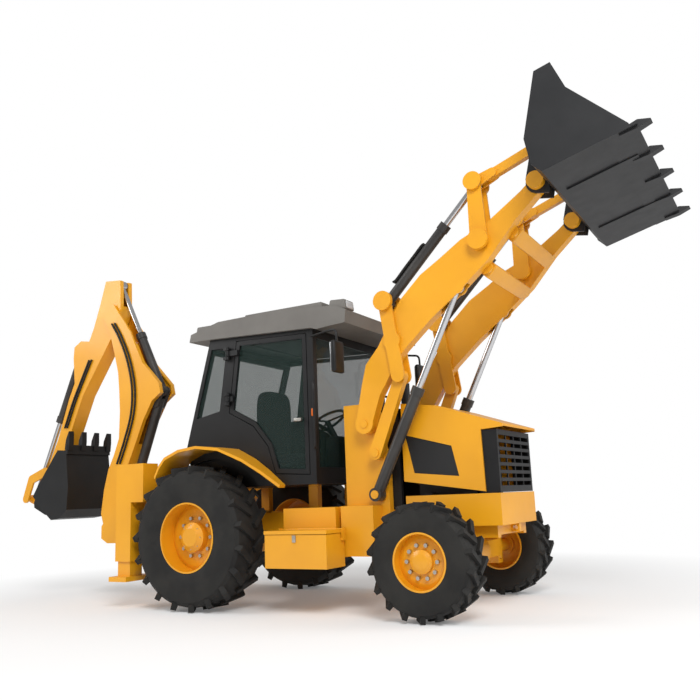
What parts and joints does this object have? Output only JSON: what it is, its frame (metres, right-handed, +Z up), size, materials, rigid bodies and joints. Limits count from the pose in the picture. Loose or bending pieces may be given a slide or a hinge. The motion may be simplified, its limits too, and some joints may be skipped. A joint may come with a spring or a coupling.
{
  "type": "backhoe loader",
  "caption": "Wheeled backhoe loader with a raised front bucket on parallel-lift arms, a glazed cab, side-shift rear digging arm and drop stabiliser legs.",
  "frame": {"origin": "centre of the bounding box on the ground, with the loader raised and the digging arm folded", "axes": "+X forward, +Y to the machine left, +Z up"},
  "size_m": [7.383, 2.23, 4.184],
  "materials": {
    "yellow_paint": "gloss",
    "tyre_rubber": "matte",
    "glass": "tinted",
    "black_paint": "satin",
    "bucket_grey": "satin",
    "roof_plastic": "matte",
    "seat_trim": "matte",
    "engine_iron": "matte",
    "barrel_grey": "satin",
    "rod_chrome": "polished",
    "pin_steel": "satin"
  },
  "bodies": {
    "chassis": {"main_frame": "yellow_paint", "axles": "black_paint", "tanks": "yellow_paint", "engine": "engine_iron", "cowl": "black_paint", "nose": "yellow_paint", "cab": "black_paint", "cab_glass": "glass", "roof": "roof_plastic", "operator_station": "seat_trim", "fenders": "yellow_paint", "toolbox": "yellow_paint", "slide_frame": "yellow_paint"},
    "loader_arm": {"loader_arm": "yellow_paint"},
    "loader_lever": {"loader_lever": "yellow_paint"},
    "lower_links": {"lower_links": "yellow_paint"},
    "lift_barrels": {"lift_barrels": "barrel_grey"},
    "lift_rods": {"lift_rods": "rod_chrome"},
    "tilt_pins": {"tilt_pins": "pin_steel"},
    "bellcrank_pins": {"bellcrank_pins": "pin_steel"},
    "bucket_pins": {"bucket_pins": "pin_steel"},
    "loader_bucket": {"loader_bucket": "bucket_grey"},
    "bellcranks": {"bellcranks": "yellow_paint"},
    "tilt_barrels": {"tilt_barrels": "barrel_grey"},
    "tilt_rods": {"tilt_rods": "rod_chrome"},
    "push_link_pins": {"push_link_pins": "pin_steel"},
    "push_links": {"push_links": "yellow_paint"},
    "carriage": {"carriage": "yellow_paint"},
    "kingpost": {"kingpost": "yellow_paint"},
    "boom": {"boom": "yellow_paint"},
    "dipper": {"dipper": "yellow_paint"},
    "dig_bucket": {"dig_bucket": "black_paint"},
    "boom_barrel": {"boom_barrel": "barrel_grey"},
    "boom_rod": {"boom_rod": "rod_chrome"},
    "dipper_barrel": {"dipper_barrel": "barrel_grey"},
    "dipper_rod": {"dipper_rod": "rod_chrome"},
    "dig_lever": {"dig_lever": "yellow_paint"},
    "dig_link": {"dig_link": "yellow_paint"},
    "dig_barrel": {"dig_barrel": "barrel_grey"},
    "dig_rod": {"dig_rod": "rod_chrome"},
    "stabiliser_right": {"stabiliser_right": "yellow_paint"},
    "rear_wheel_right": {"rear_rim_right": "yellow_paint", "rear_tyre_right": "tyre_rubber"},
    "knuckle_right": {"knuckle_right": "black_paint"},
    "front_wheel_right": {"front_rim_right": "yellow_paint", "front_tyre_right": "tyre_rubber"},
    "door_right": {"door_right": "black_paint", "door_glass_right": "glass"},
    "stabiliser_left": {"stabiliser_left": "yellow_paint"},
    "rear_wheel_left": {"rear_rim_left": "yellow_paint", "rear_tyre_left": "tyre_rubber"},
    "knuckle_left": {"knuckle_left": "black_paint"},
    "front_wheel_left": {"front_rim_left": "yellow_paint", "front_tyre_left": "tyre_rubber"},
    "door_left": {"door_left": "black_paint", "door_glass_left": "glass"},
    "bonnet": {"bonnet": "yellow_paint", "grille": "black_paint"},
    "toolbox_lid": {"toolbox_lid": "yellow_paint"}
  },
  "joints": [
    {"name": "loader_lift", "type": "hinge", "parent": "chassis", "child": "loader_arm", "pos_m": [1.0065, 0, 1.601], "axis": [0, 1, 0], "range_deg": [0, 80]},
    {"name": "lever_pivot", "type": "hinge", "parent": "loader_arm", "child": "loader_lever", "pos_m": [1.3315, 0, 2.305], "axis": [0, 1, 0], "range_deg": [-73.4, 0]},
    {"name": "lower_link_pivot", "type": "hinge", "parent": "chassis", "child": "lower_links", "pos_m": [1.0965, 0, 1.341], "axis": [0, 1, 0], "range_deg": [0, 87.63]},
    {"name": "lift_barrel_pivot", "type": "hinge", "parent": "chassis", "child": "lift_barrels", "pos_m": [1.0855, 0, 0.985], "axis": [0, 1, 0], "range_deg": [0, 69.31]},
    {"name": "lift_rod_slide", "type": "slide", "parent": "lift_barrels", "child": "lift_rods", "axis": [0.451, 0, 0.8925], "range_m": [-0.74751, 0]},
    {"name": "tilt_pin_turn", "type": "hinge", "parent": "loader_lever", "child": "tilt_pins", "pos_m": [1.2775, 0, 2.668], "axis": [0, 1, 0], "range_deg": [0, 67.2]},
    {"name": "bell_pin_turn", "type": "hinge", "parent": "loader_arm", "child": "bellcrank_pins", "pos_m": [2.1965, 0, 3.054], "axis": [0, 1, 0], "range_deg": [-52.93, 0]},
    {"name": "bucket_pin_turn", "type": "hinge", "parent": "loader_arm", "child": "bucket_pins", "pos_m": [2.7265, 0, 3.443], "axis": [0, 1, 0], "range_deg": [-91.34, 0]},
    {"name": "loader_tilt", "type": "hinge", "parent": "bucket_pins", "child": "loader_bucket", "pos_m": [2.7265, 0, 3.443], "axis": [0, -1, 0], "range_deg": [-58, 18]},
    {"name": "bellcrank_pivot", "type": "hinge", "parent": "bellcrank_pins", "child": "bellcranks", "pos_m": [2.1965, 0, 3.054], "axis": [0, 1, 0], "range_deg": [-11.07, 35.66]},
    {"name": "tilt_barrel_pivot", "type": "hinge", "parent": "tilt_pins", "child": "tilt_barrels", "pos_m": [1.2775, 0, 2.668], "axis": [0, 1, 0], "range_deg": [-2.53, 8.16]},
    {"name": "tilt_rod_slide", "type": "slide", "parent": "tilt_barrels", "child": "tilt_rods", "axis": [0.7055, 0, 0.7087], "range_m": [-0.04536, 0.14613]},
    {"name": "link_pin_turn", "type": "hinge", "parent": "bellcranks", "child": "push_link_pins", "pos_m": [2.1835, 0, 3.578], "axis": [0, 1, 0], "range_deg": [0, 61.27]},
    {"name": "push_link_pivot", "type": "hinge", "parent": "push_link_pins", "child": "push_links", "pos_m": [2.1835, 0, 3.578], "axis": [0, 1, 0], "range_deg": [-32.86, 10.2]},
    {"name": "side_shift", "type": "slide", "parent": "chassis", "child": "carriage", "axis": [0, 1, 0], "range_m": [-0.12, 0.88]},
    {"name": "slew", "type": "hinge", "parent": "carriage", "child": "kingpost", "pos_m": [-2.0145, -0.38, 0.78], "axis": [0, 0, -1], "range_deg": [-90, 90]},
    {"name": "boom_hinge", "type": "hinge", "parent": "kingpost", "child": "boom", "pos_m": [-2.2545, -0.38, 0.693], "axis": [0, -1, 0], "range_deg": [0, 100]},
    {"name": "dipper_hinge", "type": "hinge", "parent": "boom", "child": "dipper", "pos_m": [-2.3595, -0.38, 3.16], "axis": [0, 1, 0], "range_deg": [0, 100]},
    {"name": "dig_hinge", "type": "hinge", "parent": "dipper", "child": "dig_bucket", "pos_m": [-3.3745, -0.38, 1.13], "axis": [0, 1, 0], "range_deg": [0, 150]},
    {"name": "boom_barrel_pivot", "type": "hinge", "parent": "boom", "child": "boom_barrel", "pos_m": [-1.6225, -0.38, 2.182], "axis": [0, 1, 0], "range_deg": [-5.95, 0]},
    {"name": "boom_rod_slide", "type": "slide", "parent": "boom_barrel", "child": "boom_rod", "axis": [-0.3615, 0, -0.9324], "range_m": [0, 0.34336]},
    {"name": "dipper_barrel_pivot", "type": "hinge", "parent": "boom", "child": "dipper_barrel", "pos_m": [-1.6225, -0.38, 2.182], "axis": [0, 1, 0], "range_deg": [-1.25, 0]},
    {"name": "dipper_rod_slide", "type": "slide", "parent": "dipper_barrel", "child": "dipper_rod", "axis": [-0.4467, 0, 0.8947], "range_m": [-0.50575, 0]},
    {"name": "dig_lever_pivot", "type": "hinge", "parent": "dipper", "child": "dig_lever", "pos_m": [-3.3235, -0.38, 1.389], "axis": [0, 1, 0], "range_deg": [0, 69.48]},
    {"name": "dig_link_pivot", "type": "hinge", "parent": "dig_lever", "child": "dig_link", "pos_m": [-3.6415, -0.38, 1.089], "axis": [0, 1, 0], "range_deg": [-24.83, 0]},
    {"name": "dig_barrel_pivot", "type": "hinge", "parent": "dipper", "child": "dig_barrel", "pos_m": [-2.8895, -0.38, 2.79], "axis": [0, 1, 0], "range_deg": [0, 10.52]},
    {"name": "dig_rod_slide", "type": "slide", "parent": "dig_barrel", "child": "dig_rod", "axis": [-0.4043, 0, -0.9146], "range_m": [-0.3959, 0]},
    {"name": "stabiliser_right_slide", "type": "slide", "parent": "chassis", "child": "stabiliser_right", "axis": [0, 0, -1], "range_m": [0, 0.4]},
    {"name": "rear_wheel_right", "type": "hinge", "parent": "chassis", "child": "rear_wheel_right", "pos_m": [-0.6645, -0.885, 0.66], "axis": [0, 1, 0], "continuous": true},
    {"name": "steer_right", "type": "hinge", "parent": "chassis", "child": "knuckle_right", "pos_m": [1.6655, -0.68, 0.46], "axis": [0, 0, 1], "range_deg": [-30, 30]},
    {"name": "front_wheel_right", "type": "hinge", "parent": "knuckle_right", "child": "front_wheel_right", "pos_m": [1.6655, -0.905, 0.46], "axis": [0, 1, 0], "continuous": true},
    {"name": "door_right_hinge", "type": "hinge", "parent": "chassis", "child": "door_right", "pos_m": [-0.4395, -0.728, 2.175], "axis": [0, 0, -1], "range_deg": [0, 80]},
    {"name": "stabiliser_left_slide", "type": "slide", "parent": "chassis", "child": "stabiliser_left", "axis": [0, 0, -1], "range_m": [0, 0.4]},
    {"name": "rear_wheel_left", "type": "hinge", "parent": "chassis", "child": "rear_wheel_left", "pos_m": [-0.6645, 0.885, 0.66], "axis": [0, 1, 0], "continuous": true},
    {"name": "steer_left", "type": "hinge", "parent": "chassis", "child": "knuckle_left", "pos_m": [1.6655, 0.68, 0.46], "axis": [0, 0, 1], "range_deg": [-30.01, 30.01]},
    {"name": "front_wheel_left", "type": "hinge", "parent": "knuckle_left", "child": "front_wheel_left", "pos_m": [1.6655, 0.905, 0.46], "axis": [0, 1, 0], "continuous": true},
    {"name": "door_left_hinge", "type": "hinge", "parent": "chassis", "child": "door_left", "pos_m": [-0.4395, 0.728, 2.175], "axis": [0, 0, 1], "range_deg": [0, 80]},
    {"name": "bonnet_hinge", "type": "hinge", "parent": "chassis", "child": "bonnet", "pos_m": [1.2975, 0, 1.728], "axis": [0, -1, 0], "range_deg": [0, 45]},
    {"name": "toolbox_lid_hinge", "type": "hinge", "parent": "chassis", "child": "toolbox_lid", "pos_m": [0.4885, -0.722, 0.707], "axis": [-1, 0, 0], "range_deg": [0, 90]}
  ],
  "couplings": [
    {"joint": "lever_pivot", "follows": "loader_lift", "ratio": -0.91745},
    {"joint": "lower_link_pivot", "follows": "loader_lift", "ratio": 1.0953},
    {"joint": "lift_barrel_pivot", "follows": "loader_lift", "ratio": 0.86628},
    {"joint": "lift_rod_slide", "follows": "loader_lift", "m_per_rad": -0.53531},
    {"joint": "tilt_pin_turn", "follows": "loader_lift", "ratio": 0.83993},
    {"joint": "bell_pin_turn", "follows": "loader_lift", "ratio": -0.66156},
    {"joint": "bucket_pin_turn", "follows": "loader_lift", "ratio": -1.1416},
    {"joint": "bellcrank_pivot", "follows": "loader_tilt", "ratio": -0.6148},
    {"joint": "tilt_barrel_pivot", "follows": "loader_tilt", "ratio": -0.14075},
    {"joint": "tilt_rod_slide", "follows": "loader_tilt", "m_per_rad": -0.14434},
    {"joint": "link_pin_turn", "follows": "loader_lift", "ratio": 0.76582},
    {"joint": "push_link_pivot", "follows": "loader_tilt", "ratio": 0.5664},
    {"joint": "boom_barrel_pivot", "follows": "boom_hinge", "ratio": -0.059532},
    {"joint": "boom_rod_slide", "follows": "boom_hinge", "m_per_rad": 0.19671},
    {"joint": "dipper_barrel_pivot", "follows": "dipper_hinge", "ratio": -0.012522},
    {"joint": "dipper_rod_slide", "follows": "dipper_hinge", "m_per_rad": -0.28974},
    {"joint": "dig_lever_pivot", "follows": "dig_hinge", "ratio": 0.46317},
    {"joint": "dig_link_pivot", "follows": "dig_hinge", "ratio": -0.16553},
    {"joint": "dig_barrel_pivot", "follows": "dig_hinge", "ratio": 0.070133},
    {"joint": "dig_rod_slide", "follows": "dig_hinge", "m_per_rad": -0.15121},
    {"joint": "steer_left", "follows": "steer_right", "ratio": 1}
  ]
}
